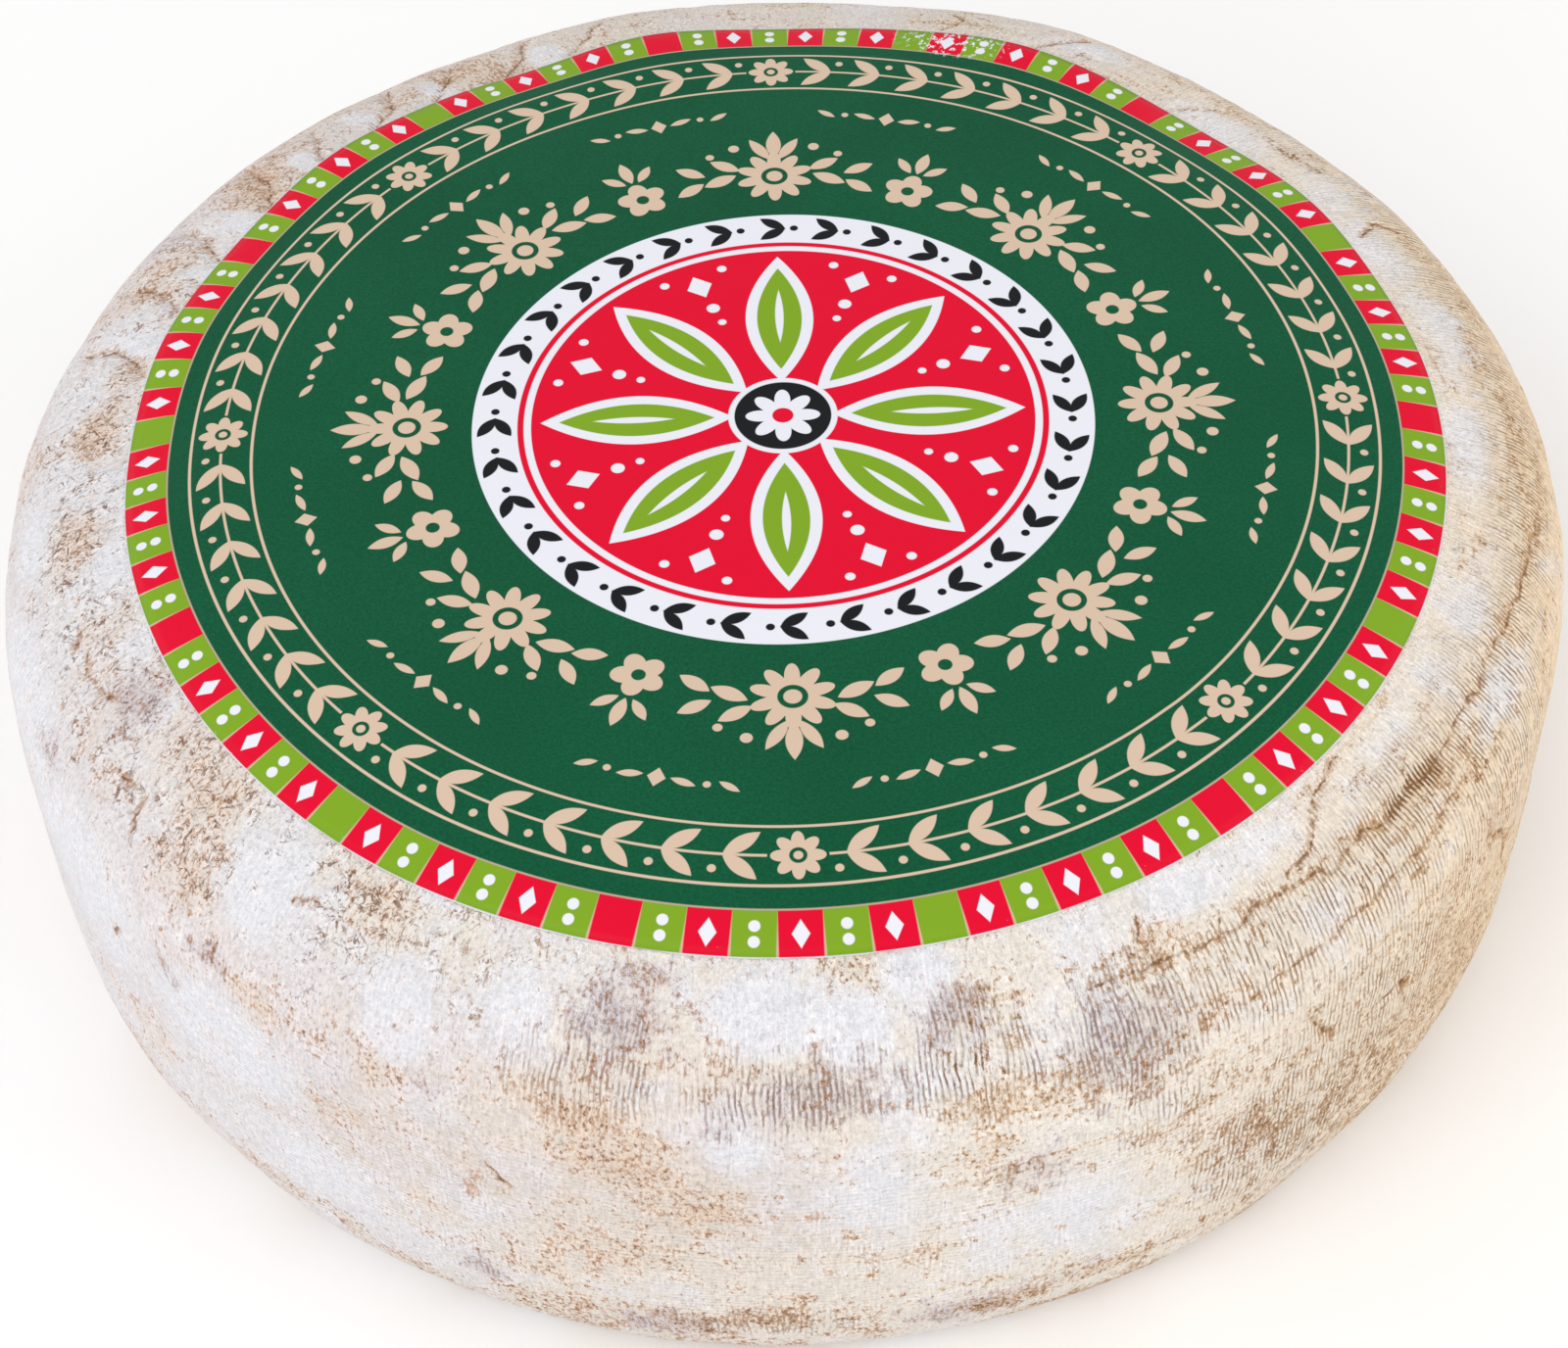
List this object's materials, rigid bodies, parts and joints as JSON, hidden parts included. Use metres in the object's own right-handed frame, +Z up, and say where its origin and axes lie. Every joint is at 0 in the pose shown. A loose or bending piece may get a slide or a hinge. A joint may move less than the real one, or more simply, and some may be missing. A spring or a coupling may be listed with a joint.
{
  "type": "cheese wheel",
  "caption": "Whole pressed cheese wheel with a pale bloomy rind marked by moulding cloth, and a round printed paper label on its top.",
  "frame": {"origin": "centre of the flat underside, on the surface that the wheel stands on", "axes": "+Z up out of the labelled top, +Y towards the back of the wheel as it is shown, +X to the right"},
  "size_m": [0.2599, 0.26, 0.0895],
  "materials": {
    "rind": "dry, matt, cloth-marked rind",
    "printed_paper": "satin printed paper"
  },
  "bodies": {
    "root": {"cheese": "rind", "label": "printed_paper"}
  },
  "joints": []
}
